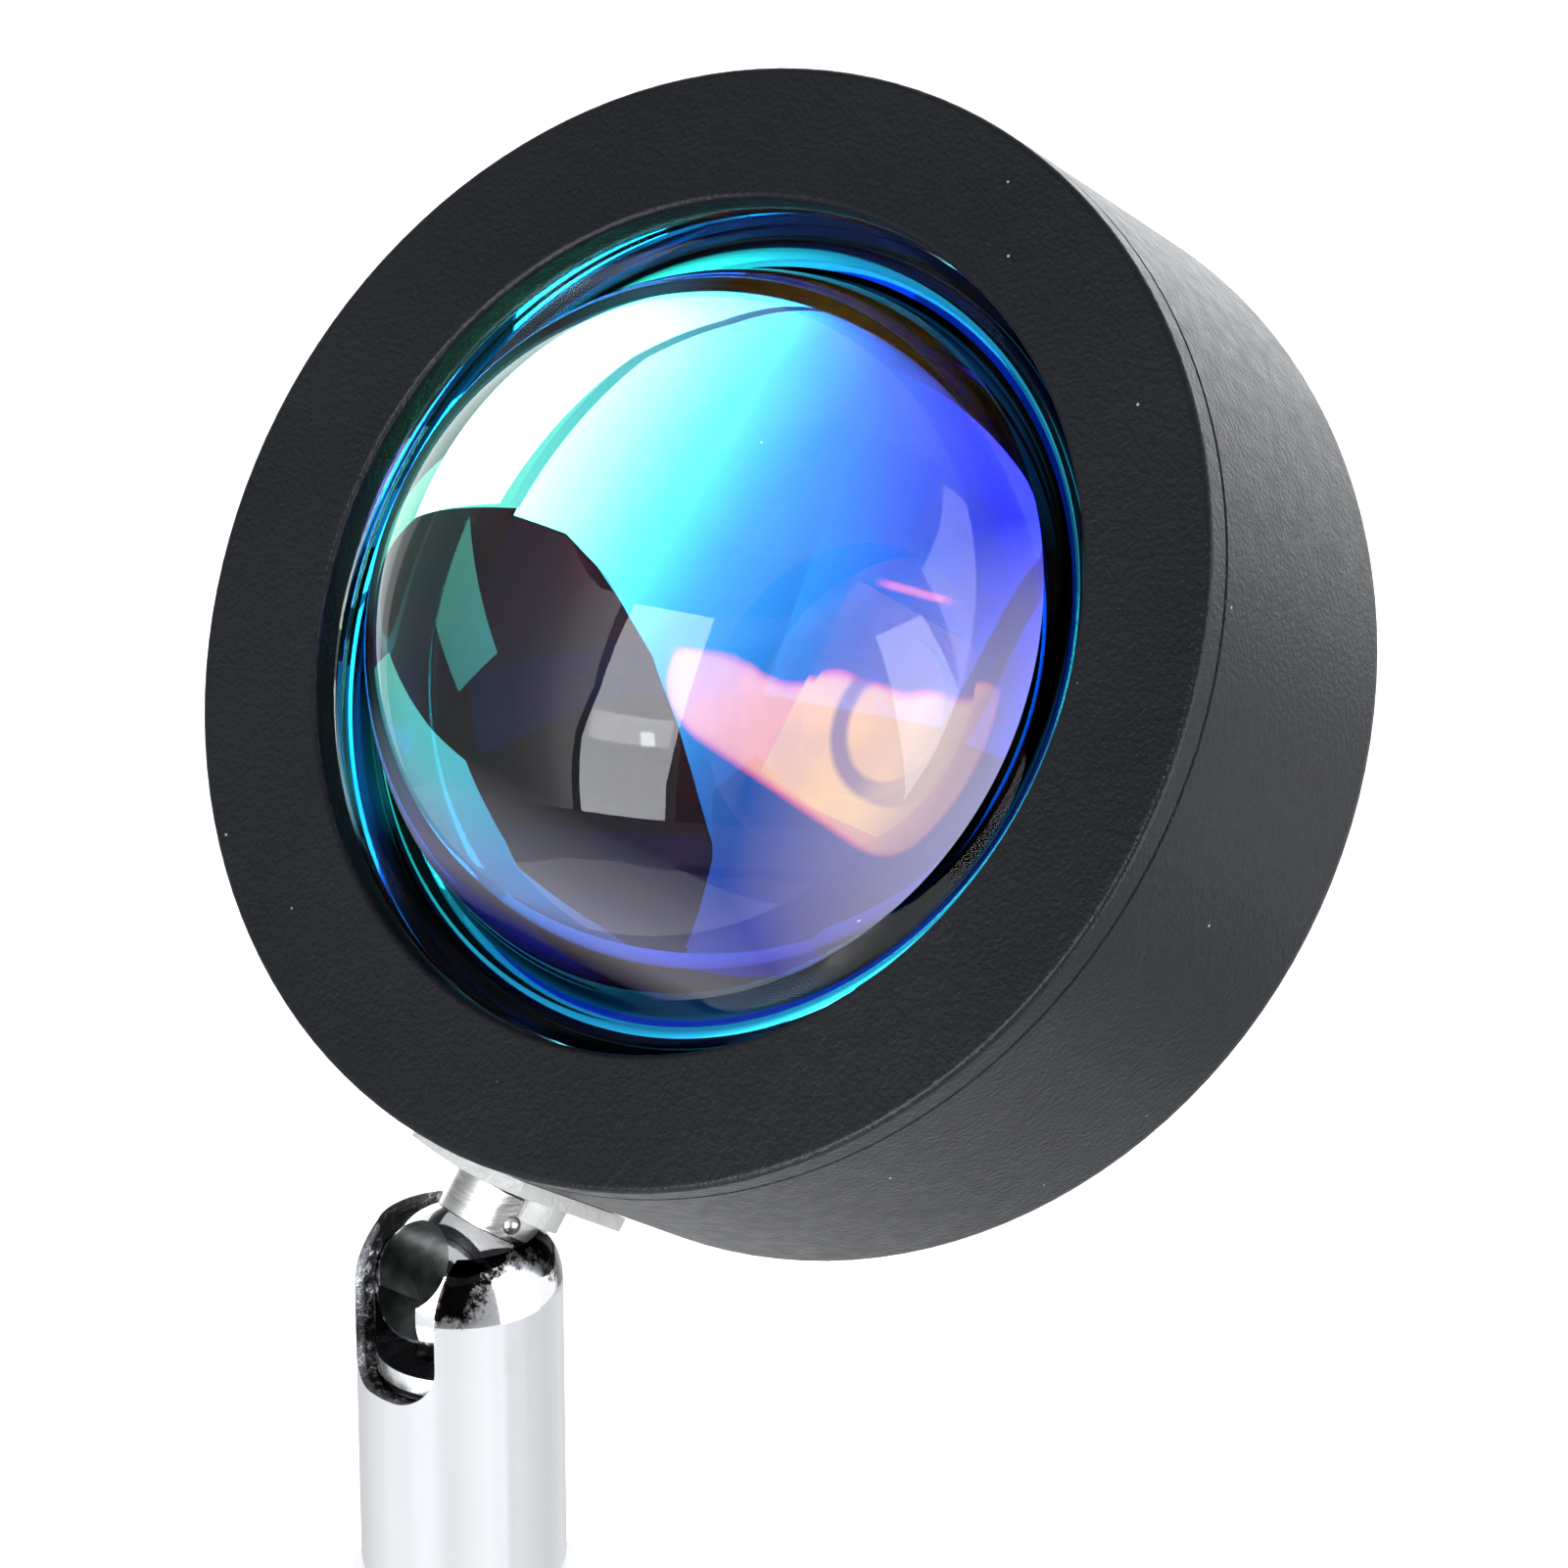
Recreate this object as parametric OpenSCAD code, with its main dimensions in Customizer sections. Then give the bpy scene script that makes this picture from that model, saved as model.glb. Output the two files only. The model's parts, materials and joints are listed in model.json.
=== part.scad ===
// Sunset projection lamp: a round lamp head with a ball-lens and a colour filter,
// on a slotted ball joint, a chrome pole and a weighted round foot.
// Origin: middle of the foot's underside. +Z is up, and the head looks towards -Y.

/* [Head shell] */
// Outer radius of the head
head_r = 30; // [28:0.5:34]
// Depth of the head, front face to back face
head_depth = 20.7; // [19.5:0.1:26]
// Thickness of the front plate
front_plate = 1.85; // [1.4:0.05:2.4]
// Thickness of the housing's round wall
side_wall = 2; // [1.2:0.1:2.4]
// Thickness of the housing's back wall
back_wall = 2; // [1.6:0.1:3]
// Radius of the rounded rim at the front
front_round = 0.35; // [0.1:0.05:0.8]
// Radius of the rounded rim at the back
back_round = 1.2; // [0.4:0.1:1.8]
// Small bevel on both sides of the seam behind the front plate
seam_bevel = 0.14; // [0.05:0.01:0.3]
// Clearance of the screwed joints and of the parts that drop into place
fit_gap = 0.1; // [0.05:0.05:0.2]

/* [Lens and filter] */
// Radius of the round window in the front plate
window_r = 22.8; // [20:0.2:23.2]
// How far the front plate laps over the lens flange
lens_lip = 1.1; // [0.8:0.1:1.4]
// Width of the flat ring between the window's edge and the crown of the lens
lens_ledge = 3.3; // [2:0.1:5]
// Height of the crown of the lens above its flange
crown_h = 15.7; // [6:0.1:16.5]
// Thickness of the lens flange
flange_t = 2.2; // [2:0.1:4]
// Thickness of the colour filter glass
filter_t = 1; // [0.7:0.1:1.4]
// Thickness of the soft ring behind the filter
gasket_t = 0.5; // [0.3:0.1:0.8]
// Width of the soft ring
gasket_w = 1.6; // [1:0.1:2]
// Thickness of the threaded ring that holds the lens
retainer_t = 1.2; // [1:0.1:1.6]
// Width of the threaded ring
retainer_w = 2.6; // [2:0.1:3.5]

/* [Light source] */
// Radius of the circuit board of the light source
board_r = 14; // [13:0.5:16]
// Thickness of the circuit board
board_t = 1.6; // [1:0.1:2]
// Thickness of the soft heat pad
pad_t = 0.5; // [0.3:0.1:0.8]
// Radius of the heat pad
pad_r = 9; // [6:0.5:9.2]
// Thickness of the heat spreader plate
spreader_t = 1.5; // [1:0.1:2]
// Radius of the heat spreader plate
spreader_r = 15; // [14:0.5:15]
// Side of the square light emitter
emitter_w = 6.4; // [5:0.2:7]
// Thickness of the emitter's carrier
emitter_t = 0.6; // [0.4:0.1:0.8]
// Radius of the emitter's round glowing face
glow_r = 2.6; // [1.8:0.1:2.8]
// Wall thickness of the reflector
reflector_t = 0.8; // [0.6:0.1:1]
// Radius of the reflector's small opening
throat_r = 5; // [4.9:0.1:6]
// Height of the reflector's straight throat
throat_h = 2.4; // [2:0.1:3.5]
// Distance of the reflector's bowl inside the retainer's opening
bowl_margin = 0.4; // [0.2:0.1:1]
// Radius of the circle of the board screws
board_screw_circle = 11.4; // [11:0.1:12]
// Number of board screws
board_screws_n = 3; // [2:1:4]
// Radius of the board screws
board_screw_r = 1; // [0.8:0.1:1.2]
// Radius of the board screws' heads
board_screw_head_r = 1.9; // [1.6:0.1:2]

/* [Cord gland] */
// Radius of the gland's cord hole
gland_bore_r = 1.6; // [1.3:0.1:1.8]
// Radius of the gland where it passes the back wall
gland_neck_r = 2.8; // [2.5:0.1:3]
// Radius of the gland's flanges
gland_flange_r = 3.8; // [3.5:0.1:4]
// Thickness of the gland's inner flange
gland_inner_t = 1.2; // [0.8:0.1:1.4]
// Thickness of the gland's outer flange
gland_outer_t = 1.8; // [1.2:0.1:2.5]
// Distance of the gland from the head's axis, towards the ball joint
gland_drop = 20.2; // [19.8:0.1:21]

/* [Ball joint] */
// Radius of the ball
ball_r = 4.4; // [4.2:0.05:4.6]
// Radius of the neck above the ball
neck_r = 2.9; // [2.6:0.05:3]
// Distance from the ball's centre to the wall of the head
neck_reach = 6.6; // [6.5:0.1:9]
// Distance from the front face back to the axis of the neck
neck_depth = 9; // [9:0.1:10]
// Radius of the round recess in the side of the ball
recess_r = 2.45; // [2:0.05:2.6]
// Width of the groove from the recess to the underside of the ball
recess_groove_w = 3.2; // [2.5:0.1:3.6]
// Depth of the recess beyond the ball's centre
recess_past = 1.1; // [0.5:0.1:1.4]
// Radius of the pin on which the neck turns in the ball
neck_pin_r = 1.3; // [1:0.05:1.5]
// Running clearance of the pin, the ball and the turning socket, on the radius
run_gap = 0.05; // [0.02:0.01:0.08]
// Height above the ball's centre at which the neck divides into two halves
lap_z = 3.6; // [3.5:0.05:4]
// Distance between the chrome half of the neck and the head's wall
stem_gap = 1; // [0.6:0.1:1.4]
// Radius of the cast half of the neck
lug_r = 3.4; // [3:0.1:3.6]
// Direction of the joint between the two halves, seen along the neck
lap_turn = -34; // [-60:1:0]
// Width of the saddle plate across the head
saddle_w = 7.6; // [7:0.1:9]
// Length of the saddle plate along the head
saddle_l = 10.4; // [9.4:0.1:11]
// Thickness of the saddle plate
saddle_t = 0.8; // [0.6:0.1:1]
// Radius of the pin that locks the two halves
lap_pin_r = 0.5; // [0.4:0.05:0.6]
// Radius of the screw that holds the neck from inside the head
neck_screw_r = 1; // [0.8:0.1:1.1]
// Radius of that screw's head
neck_screw_head_r = 1.9; // [1.6:0.1:2]
// Distance of that screw from the axis of the neck
neck_screw_shift = 1.6; // [1.4:0.1:1.8]

/* [Socket] */
// Outer radius of the socket tube and its dome
socket_r = 5.5; // [5.4:0.05:5.8]
// Distance from the ball's centre down to the socket's lower end
socket_drop = 16.7; // [16:0.1:20]
// Half the width of the slot in which the neck swings
slot_half_w = 3.3; // [3.25:0.05:3.5]
// Distance of the slot's bottom below the ball's centre
slot_low = 4.9; // [4.5:0.1:6]
// Corner radius at the slot's bottom
slot_round = 2.3; // [1.5:0.1:3]
// Radius of the round mouth at the top of the dome, inside
mouth_in_r = 3.8; // [3.6:0.05:3.9]
// Radius of the round mouth at the top of the dome, outside
mouth_out_r = 4.3; // [4.1:0.05:4.4]
// Bore radius of the friction ring under the ball
ring_bore_r = 2.6; // [2.2:0.05:3]
// Thickness of the friction ring
ring_t = 0.95; // [0.7:0.05:1.2]
// Wire radius of the pressure spring
spring_wire_r = 0.35; // [0.25:0.05:0.45]
// Number of turns of the pressure spring
spring_turns = 5; // [3:1:7]
// Length of the link nipple inside the socket
link_up = 4.5; // [3.5:0.1:5.5]
// Length of the link nipple inside the pole
link_down = 9; // [6:0.5:11]
// Radius of the nipple's lower end, which turns in the pole's bush
link_r = 3.9; // [3.5:0.1:4.1]
// Radius of the hole through the nipple
link_bore_r = 2.2; // [1.5:0.1:2.6]

/* [Pose] */
// Lean of the neck back from upright, in the plane of the slot
rest_tilt = 33.4; // [20:0.1:34]
// Lean of the neck sideways in the slot
side_lean = 3.5; // [0:0.1:3.6]
// Turn of the head about the neck
rest_spin = 11.2; // [0:0.1:30]
// Furthest lean back from upright
tilt_stop = 36; // [35:0.5:37]

/* [Pole] */
// Outer radius of the pole
pole_r = 6; // [5.8:0.1:6.2]
// Wall thickness of the pole
pole_wall = 0.8; // [0.6:0.1:1]
// Length of the pole
pole_len = 165; // [120:1:260]
// Length of the bush in the pole's top
bush_len = 12; // [11:0.5:20]
// Length of the threaded plug in the pole's foot
plug_len = 14; // [12:0.5:25]
// Radius of the collar at the pole's foot
collar_r = 10; // [8:0.5:14]
// Height of the collar
collar_h = 3.5; // [2:0.1:6]

/* [Foot] */
// Radius of the foot
foot_r = 50; // [45:1:65]
// Height of the foot
foot_h = 12; // [11:0.5:16]
// Sheet thickness of the foot's cover
cover_t = 1.2; // [0.8:0.1:2]
// Radius of the rounded upper rim of the cover
cover_round = 2.6; // [1.5:0.1:4]
// Thickness of the soft pad under the foot
pad_foot_t = 1.5; // [1:0.1:2]
// How far the pad stays inside the cover's skirt
pad_inset = 0.4; // [0.3:0.1:1]
// Height of the skirt's lower edge above the table
skirt_lift = 0.6; // [0.3:0.1:0.9]
// Radius of the foot bolt
bolt_r = 3; // [2.5:0.25:3.5]
// Radius of the foot bolt's head
bolt_head_r = 5; // [4.5:0.1:5.5]
// Height of the foot bolt's head
bolt_head_h = 3.6; // [3:0.1:4.2]
// Length of the bolt inside the plug
bolt_grip = 9; // [7:0.5:11]
// Radius of the washer
washer_r = 7; // [6.5:0.5:10]
// Thickness of the washer
washer_t = 1.2; // [0.8:0.1:1.6]

/* [Hidden] */
$fn = 64;

// Cuts run this far past the faces they open
past = 1;
// Points along a rounded rim, along the crown of the lens and along the bowl
rim_steps = 6;
crown_steps = 24;
bowl_steps = 12;

// Depths in the head: 0 is the front face, and negative values lie inside
flange_top = -front_plate - fit_gap;
flange_low = flange_top - flange_t;
filter_top = flange_low - fit_gap;
filter_low = filter_top - filter_t;
gasket_low = filter_low - gasket_t;
retainer_low = gasket_low - retainer_t;
back_inner = -head_depth + back_wall;
spreader_top = back_inner + spreader_t;
pad_top = spreader_top + pad_t;
board_top = pad_top + board_t;

// Radii in the head
housing_in_r = head_r - side_wall;
spigot_r = housing_in_r - fit_gap;
flange_r = window_r + lens_lip;
cell_r = flange_r + fit_gap;
retainer_in_r = cell_r - retainer_w;
crown_r = window_r - lens_ledge;
crown_sphere_r = (crown_r * crown_r + crown_h * crown_h) / (2 * crown_h);
crown_half_angle = asin(crown_r / crown_sphere_r);
crown_angle = crown_h > crown_r ? 180 - crown_half_angle : crown_half_angle;
// Notches of the retainer: depth from its inner edge, and width
notch_depth = 1;
notch_w = 1.6;
// How fast the reflector's bowl opens: below 1 it is steepest at the rim
bowl_flare = 0.6;

// Small parts on the circuit board
glow_rise = 0.4;
wire_socket_size = [4.4, 2.8, 1.6];
wire_socket_inset = 0.8;
wire_pocket_r = 0.45;
wire_pocket_depth = 1.8;
wire_pitch = 1.8;
chip_size = [0.9, 1.6, 0.5];
chip_gap = 1.5;
chip_turns = [20, 140, 200, 340];

// Screws: skin of the back wall behind their tips, height of the heads, and their cross recess
screw_skin = 0.5;
board_screw_head_t = 1.1;
cross_l = 2.4;
cross_w = 0.5;
cross_depth = 0.5;
// Bevel of the gland's outer flange
gland_bevel = 1;

// Ball joint
seat_r = ball_r + run_gap;
ball_flat = sqrt(ball_r * ball_r - neck_r * neck_r);
socket_in_r = ball_r + fit_gap;
ring_top = -sqrt(seat_r * seat_r - ring_bore_r * ring_bore_r);
ring_low = ring_top - ring_t;
mouth_z = sqrt(socket_r * socket_r - mouth_out_r * mouth_out_r);
head_axis_z = head_r + neck_reach;
saddle_gap = 0.05;
// Shift of the saddle plate towards the back of the head
saddle_shift = 0.6;
stem_top = neck_reach - stem_gap;
// Height of the lap pin's groove above the foot of the joint, and its length
lap_pin_rise = 0.1;
lap_pin_z = lap_z + lap_pin_r + lap_pin_rise;
// The cast half is as slim as the stem until it is clear of the dome
lug_clear = 0.28;
lug_step = sqrt(pow(socket_r + lug_clear, 2) - lug_r * lug_r);
lap_pin_len = 4;
lap_pin_proud = 0.08;
// Gap between the two halves of the neck
lap_gap = 0.04;
// Neck screw: length in the cast half, height of its head, and depth of the flat under the head
neck_screw_grip = 2.2;
neck_screw_head_t = 1.2;
spot_depth = 0.12;
// Half height of the slot in the back of the dome
back_slot_clear = 0.25;
back_slot_half = neck_r + back_slot_clear;

// Pose: the socket turns so that the head looks towards -Y
look_x = cos(side_lean) * sin(rest_spin);
look_y = -cos(rest_tilt) * cos(rest_spin) - sin(rest_tilt) * sin(side_lean) * sin(rest_spin);
slot_turn = -90 - atan2(look_y, look_x);

// Pole and foot
pole_in_r = pole_r - pole_wall;
pole_top = foot_h + pole_len;
ball_z = pole_top + socket_drop;
cover_low_top = foot_h - cover_t;
weight_r = foot_r - cover_t - fit_gap;
pad_foot_r = foot_r - cover_t - pad_inset;
// Clearances of the foot bolt: on its radius, below its head and past its tip
bolt_clear = 0.25;
bolt_low_clear = 0.4;
bolt_tip_clear = 1;
bolt_hole_r = bolt_r + bolt_clear;
bolt_pocket_h = bolt_head_h + washer_t + bolt_low_clear;
washer_clear = 1;
// Hexagon socket of the bolt, over its corners
hex_r = 2.6;
hex_depth = 2.2;
collar_bevel = 0.8;
// Inner rounding of the cover, never sharp, and the weight's bevel that clears it
cover_in_round = max(cover_round - cover_t, 0.2);
weight_bevel = cover_in_round + 0.3;

// Points of an arc around [cx, cy] from angle a to angle b
function arc(cx, cy, r, a, b, n) =
    [for (i = [0:n]) [cx + r * cos(a + (b - a) * i / n), cy + r * sin(a + (b - a) * i / n)]];

// ---- Places ----

// The socket's frame: centre of the ball, slot towards -Y
module at_socket() {
    translate([0, 0, ball_z]) rotate([0, 0, slot_turn]) children();
}

// The ball's frame: centre of the ball, Z along the neck
module at_ball() {
    at_socket() rotate([-rest_tilt, 0, 0]) rotate([0, side_lean, 0]) children();
}

// The neck's frame: as the ball's, turned with the head
module at_neck() {
    at_ball() rotate([0, 0, rest_spin]) children();
}

// The head's frame: centre of the front face, Z outwards, Y away from the ball
module at_head() {
    at_neck() translate([0, -neck_depth, head_axis_z]) rotate([90, 0, 0]) children();
}

// Copies on the circle of the board screws
module at_board_screws() {
    for (i = [0:board_screws_n - 1])
        rotate([0, 0, 90 + i * 360 / board_screws_n]) translate([board_screw_circle, 0, 0]) children();
}

// A flat ring between two radii, from one height to another
module ring(r_in, r_out, low, high) {
    translate([0, 0, low]) difference() {
        cylinder(r = r_out, h = high - low);
        translate([0, 0, -past]) cylinder(r = r_in, h = high - low + 2 * past);
    }
}

// ---- Head ----

module front_bezel() {
    color([0.05, 0.05, 0.055]) at_head() rotate_extrude() polygon(concat(
        [[cell_r, retainer_low], [spigot_r, retainer_low], [spigot_r, -front_plate],
         [head_r - seam_bevel, -front_plate], [head_r, -front_plate + seam_bevel]],
        arc(head_r - front_round, -front_round, front_round, 0, 90, rim_steps),
        arc(window_r + front_round, -front_round, front_round, 90, 180, rim_steps),
        [[window_r, -front_plate], [cell_r, -front_plate]]));
}

module head_housing() {
    color([0.06, 0.06, 0.065]) at_head() difference() {
        rotate_extrude() polygon(concat(
            [[0, back_inner], [0, -head_depth]],
            arc(head_r - back_round, -head_depth + back_round, back_round, -90, 0, rim_steps),
            [[head_r, -front_plate - seam_bevel], [head_r - seam_bevel, -front_plate],
             [housing_in_r, -front_plate], [housing_in_r, back_inner]]));
        // Hole for the cord gland
        translate([0, -gland_drop, -head_depth - past])
            cylinder(r = gland_neck_r, h = back_wall + 2 * past);
        // Threaded holes for the board screws
        at_board_screws()
            translate([0, 0, back_inner - board_screw_bite()]) cylinder(r = board_screw_r, h = back_wall);
        // Hole and flat for the neck screw
        at_neck_screw_in_head() {
            translate([0, 0, housing_in_r - past]) cylinder(r = neck_screw_r, h = side_wall + 2 * past);
            translate([0, 0, housing_in_r - past])
                cylinder(r = neck_screw_head_r + fit_gap, h = past + spot_depth);
        }
    }
}

// Length of the board screws in the back wall
function board_screw_bite() = back_wall - screw_skin;

// The head's frame, with Z along the neck screw, from the head's axis towards the ball
module at_neck_screw_in_head() {
    translate([-neck_screw_shift * sin(lap_turn), 0, -neck_depth - neck_screw_shift * cos(lap_turn)])
        rotate([90, 0, 0]) children();
}

module lens() {
    color([0.55, 0.75, 0.95]) at_head() rotate_extrude() polygon(concat(
        [[0, flange_low], [flange_r, flange_low], [flange_r, flange_top]],
        arc(0, flange_top + crown_h - crown_sphere_r, crown_sphere_r, 90 - crown_angle, 90, crown_steps)));
}

module color_filter() {
    color([0.2, 0.6, 0.9]) at_head() translate([0, 0, filter_low]) cylinder(r = flange_r, h = filter_t);
}

module lens_gasket() {
    color([0.1, 0.1, 0.1]) at_head() ring(flange_r - gasket_w, flange_r, gasket_low, filter_low);
}

module lens_retainer() {
    color([0.15, 0.15, 0.16]) at_head() difference() {
        ring(retainer_in_r, cell_r, retainer_low, gasket_low);
        // Two notches for the fitting key
        for (side = [0, 180])
            rotate([0, 0, side]) translate([retainer_in_r, 0, retainer_low])
                cube([2 * notch_depth, notch_w, retainer_t], center = true);
    }
}

// Radius of the reflector's bowl at a share of its height
function bowl_r(share) = throat_r + (retainer_in_r - bowl_margin - throat_r) * pow(share, bowl_flare);

module reflector_cup() {
    // The throat stands on the board, and the flange meets the retainer
    bowl_low = board_top + throat_h;
    bowl = [for (i = [0:bowl_steps])
        [bowl_r(i / bowl_steps), bowl_low + (retainer_low - bowl_low) * i / bowl_steps]];
    back = [for (i = [bowl_steps:-1:0]) bowl[i] + [reflector_t, -reflector_t / 2]];
    color([0.85, 0.85, 0.86]) at_head() rotate_extrude() polygon(concat(
        [[throat_r, board_top]], bowl,
        [[cell_r, retainer_low], [cell_r, retainer_low - reflector_t]], back,
        [[throat_r + reflector_t, board_top]]));
}

module led_board() {
    color([0.92, 0.92, 0.9]) at_head() difference() {
        translate([0, 0, pad_top]) cylinder(r = board_r, h = board_t);
        at_board_screws() translate([0, 0, pad_top - past])
            cylinder(r = board_screw_r + fit_gap, h = board_t + 2 * past);
    }
}

module led_emitter() {
    color([0.95, 0.8, 0.2]) at_head() translate([0, 0, board_top]) {
        translate([-emitter_w / 2, -emitter_w / 2, 0]) cube([emitter_w, emitter_w, emitter_t]);
        cylinder(r = glow_r, h = emitter_t + glow_rise);
    }
}

// Distance of the chips from the head's axis
chip_ring = throat_r + reflector_t + chip_gap;

module wire_socket() {
    color([0.95, 0.95, 0.92]) at_head() translate([0, -board_r + wire_socket_inset, board_top])
        difference() {
            translate([-wire_socket_size[0] / 2, 0, 0]) cube(wire_socket_size);
            // Two pockets for the cord's contacts
            for (side = [-1, 1])
                translate([side * wire_pitch / 2, -past, wire_socket_size[2] / 2])
                    rotate([-90, 0, 0]) cylinder(r = wire_pocket_r, h = past + wire_pocket_depth);
        }
}

module board_chips() {
    color([0.1, 0.1, 0.1]) at_head() for (turn = chip_turns)
        rotate([0, 0, turn]) translate([chip_ring, -chip_size[1] / 2, board_top]) cube(chip_size);
}

module thermal_pad() {
    color([0.6, 0.65, 0.75]) at_head() translate([0, 0, spreader_top]) cylinder(r = pad_r, h = pad_t);
}

module heat_spreader() {
    color([0.75, 0.76, 0.78]) at_head() difference() {
        translate([0, 0, back_inner]) cylinder(r = spreader_r, h = spreader_t);
        at_board_screws() translate([0, 0, back_inner - past])
            cylinder(r = board_screw_r + fit_gap, h = spreader_t + 2 * past);
    }
}

// Cross recess in a screw's head whose top is at the given height
module cross_recess(top) {
    for (turn = [0, 90])
        rotate([0, 0, turn]) translate([-cross_l / 2, -cross_w / 2, top - cross_depth])
            cube([cross_l, cross_w, cross_depth + past]);
}

module board_screws() {
    color([0.7, 0.7, 0.72]) at_head() at_board_screws() {
        translate([0, 0, back_inner - board_screw_bite()])
            cylinder(r = board_screw_r, h = board_top - back_inner + board_screw_bite());
        translate([0, 0, board_top]) difference() {
            cylinder(r = board_screw_head_r, h = board_screw_head_t);
            cross_recess(board_screw_head_t);
        }
    }
}

module cord_gland() {
    outer_low = -head_depth - gland_outer_t;
    color([0.08, 0.08, 0.085]) at_head() translate([0, -gland_drop, 0]) rotate_extrude() polygon([
        [gland_bore_r, outer_low], [gland_flange_r - gland_bevel, outer_low],
        [gland_flange_r, outer_low + gland_bevel],
        [gland_flange_r, -head_depth], [gland_neck_r, -head_depth], [gland_neck_r, back_inner],
        [gland_flange_r, back_inner], [gland_flange_r, back_inner + gland_inner_t],
        [gland_bore_r, back_inner + gland_inner_t]]);
}

// ---- Neck ----

// Half of the neck's space: side 1 holds the cast half, side -1 the chrome half
module lap_side(side) {
    rotate([0, 0, lap_turn]) translate([0, side * (lug_r * 2 + lap_gap / 2), lap_z + neck_reach])
        cube([lug_r * 4, lug_r * 4, neck_reach * 2], center = true);
}

// The pin lies in the joint between the halves, along its direction
module at_lap_pin() {
    rotate([0, 0, lap_turn]) translate([0, 0, lap_pin_z]) rotate([0, 90, 0]) children();
}

module at_neck_screw() {
    rotate([0, 0, lap_turn]) translate([0, neck_screw_shift, 0]) children();
}

module lap_pin_groove() {
    at_lap_pin() translate([0, 0, neck_r - lap_pin_len])
        cylinder(r = lap_pin_r, h = lap_pin_len + past);
}

module neck_stem() {
    color([0.8, 0.8, 0.82]) at_neck() difference() {
        union() {
            translate([0, 0, ball_flat + run_gap]) cylinder(r = neck_r, h = lap_z - ball_flat - run_gap);
            translate([0, 0, recess_r]) cylinder(r = neck_pin_r, h = lap_z - recess_r);
            intersection() {
                translate([0, 0, lap_z]) cylinder(r = neck_r, h = stem_top - lap_z);
                lap_side(-1);
            }
        }
        lap_pin_groove();
    }
}

module neck_lug() {
    wall_r = head_r + saddle_gap;
    color([0.86, 0.86, 0.84]) at_neck() difference() {
        union() {
            intersection() {
                union() {
                    translate([0, 0, lap_z + lap_gap]) cylinder(r = neck_r, h = neck_reach);
                    translate([0, 0, lug_step]) cylinder(r = lug_r, h = neck_reach);
                }
                lap_side(1);
            }
            // Saddle plate that follows the head's wall
            intersection() {
                translate([-saddle_w / 2, -saddle_l / 2 + saddle_shift, neck_reach - saddle_t - past])
                    cube([saddle_w, saddle_l, saddle_t + 2 * past]);
                translate([0, 0, head_axis_z]) rotate([90, 0, 0])
                    cylinder(r = wall_r + saddle_t, h = 2 * head_depth, center = true);
            }
        }
        translate([0, 0, head_axis_z]) rotate([90, 0, 0])
            cylinder(r = wall_r, h = 2 * head_depth, center = true);
        lap_pin_groove();
        at_neck_screw() translate([0, 0, neck_reach - neck_screw_grip])
            cylinder(r = neck_screw_r, h = neck_screw_grip + past);
    }
}

module lap_pin() {
    straight = lap_pin_len - lap_pin_r + lap_pin_proud;
    color([0.75, 0.75, 0.77]) at_neck() at_lap_pin() translate([0, 0, neck_r - lap_pin_len]) {
        cylinder(r = lap_pin_r, h = straight);
        translate([0, 0, straight]) sphere(r = lap_pin_r);
    }
}

module neck_screw() {
    head_low = neck_reach + side_wall - spot_depth;
    color([0.7, 0.7, 0.72]) at_neck() at_neck_screw() {
        translate([0, 0, neck_reach - neck_screw_grip])
            cylinder(r = neck_screw_r, h = head_low - neck_reach + neck_screw_grip);
        translate([0, 0, head_low]) difference() {
            cylinder(r = neck_screw_head_r, h = neck_screw_head_t);
            cross_recess(neck_screw_head_t);
        }
    }
}

module pivot_ball() {
    color([0.78, 0.78, 0.8]) at_ball() difference() {
        sphere(r = ball_r);
        // Flat under the neck, and the hole for its pin
        translate([-ball_r, -ball_r, ball_flat]) cube(2 * ball_r);
        cylinder(r = neck_pin_r + run_gap, h = ball_r);
        // Round recess that looks out of the slot
        translate([0, recess_past, 0]) rotate([90, 0, 0]) cylinder(r = recess_r, h = 2 * ball_r);
        // Groove from the recess down to the underside
        translate([-recess_groove_w / 2, -2 * ball_r + recess_past, -2 * ball_r])
            cube([recess_groove_w, 2 * ball_r, 2 * ball_r]);
    }
}

// ---- Socket ----

// Outline of the slot in the front wall, seen along Y
module slot_outline() {
    corner_x = slot_half_w - slot_round;
    corner_y = -slot_low + slot_round;
    for (side = [-1, 1]) translate([side * corner_x, corner_y]) circle(r = slot_round);
    translate([-corner_x, -slot_low]) square([2 * corner_x, slot_round]);
    translate([-slot_half_w, corner_y]) square([2 * slot_half_w, slot_low + socket_r]);
}

// Half outline of the tube with its dome, bore, round seat and mouth
module socket_section() {
    difference() {
        union() {
            translate([0, -socket_drop]) square([socket_r, socket_drop]);
            intersection() {
                circle(r = socket_r);
                square(socket_r);
            }
        }
        translate([-past, -socket_drop - past]) square([socket_in_r + past, socket_drop + past]);
        circle(r = socket_in_r);
        polygon([[-past, 0], [mouth_in_r, 0], [mouth_out_r, mouth_z],
                 [mouth_out_r, socket_r + past], [-past, socket_r + past]]);
    }
}

module socket_tube() {
    color([0.82, 0.82, 0.84]) at_socket() difference() {
        rotate_extrude() socket_section();
        // Slot down the front wall
        rotate([90, 0, 0]) linear_extrude(height = 2 * socket_r) slot_outline();
        // Slot in the back of the dome, as low as the neck needs at its stop
        rotate([-tilt_stop, 0, 0]) translate([-slot_half_w, -back_slot_half, 0])
            cube([2 * slot_half_w, 2 * back_slot_half, 2 * socket_r]);
    }
}

module friction_ring() {
    color([0.12, 0.12, 0.13]) at_socket() ring(ring_bore_r, socket_in_r - run_gap, ring_low, ring_top);
}

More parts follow.
